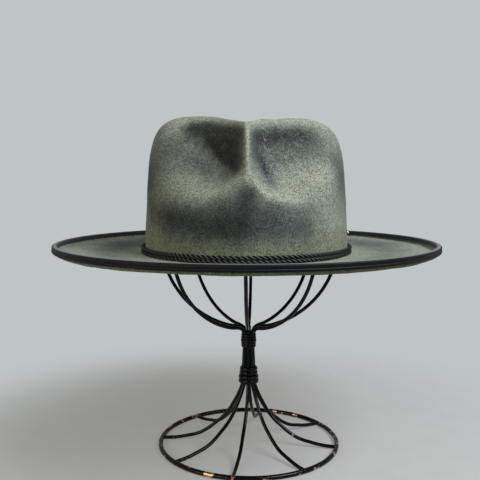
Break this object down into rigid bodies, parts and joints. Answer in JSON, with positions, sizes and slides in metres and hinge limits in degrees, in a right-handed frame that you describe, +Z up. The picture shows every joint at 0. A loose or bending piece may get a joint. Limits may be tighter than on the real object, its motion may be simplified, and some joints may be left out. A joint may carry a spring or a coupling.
{
  "type": "felt hat on wire stand",
  "caption": "Wide-brimmed felt hat with a creased crown and pinched front, bound edge and cord band, resting on a wire stand.",
  "frame": {"origin": "on the table under the middle of the brim, at the level of the base ring's underside", "axes": "+Z up, -Y towards the front of the hat, +X towards the wearer's left"},
  "size_m": [0.3214, 0.3574, 0.2833],
  "materials": {
    "felt": "airbrushed wool felt, matt",
    "binding_ribbon": "black grosgrain ribbon",
    "cord_yarn": "black twisted cord, slight sheen",
    "button_leather": "black leather",
    "nickel": "polished nickel",
    "black_wire": "gloss black lacquered steel wire"
  },
  "bodies": {
    "root": {"felt_body": "felt", "brim_binding": "binding_ribbon", "cord_lower": "cord_yarn", "cord_upper": "cord_yarn", "side_button": "button_leather", "button_stud": "nickel", "base_ring": "black_wire", "wire_rib_1": "black_wire", "wire_rib_2": "black_wire", "wire_rib_3": "black_wire", "wire_rib_4": "black_wire", "wire_rib_5": "black_wire", "wire_rib_6": "black_wire", "wire_rib_7": "black_wire", "wire_rib_8": "black_wire", "lower_collar": "black_wire", "upper_collar": "black_wire", "stand_top": "black_wire"}
  },
  "joints": []
}
